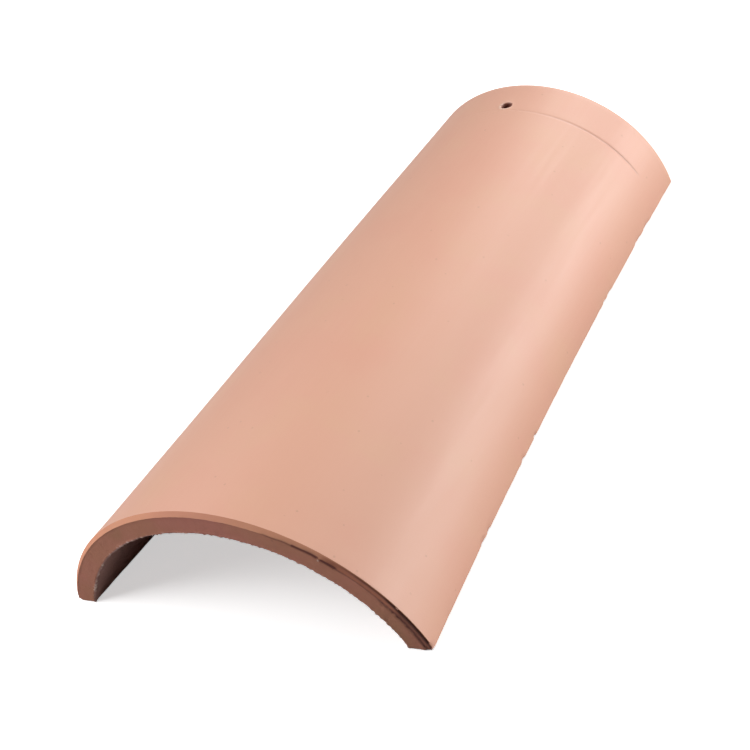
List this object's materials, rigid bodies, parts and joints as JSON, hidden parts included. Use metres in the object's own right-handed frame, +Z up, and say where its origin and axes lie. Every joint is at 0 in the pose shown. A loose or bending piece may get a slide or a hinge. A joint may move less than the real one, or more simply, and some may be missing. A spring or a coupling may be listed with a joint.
{
  "type": "roof tile",
  "caption": "Tapered half-barrel clay roof tile with a nail hole at its narrow end, laid in overlapping courses to shed rain.",
  "frame": {"origin": "under the middle of the tile, in the plane that its two long edges rest on", "axes": "+Y along the tile from the wide end to the narrow end with the nail hole, +X across it, +Z up through the crown"},
  "size_m": [0.217, 0.4, 0.073],
  "materials": {
    "fired_clay": "matt, unglazed salmon terracotta"
  },
  "bodies": {
    "root": {"barrel_tile": "fired_clay"}
  },
  "joints": []
}
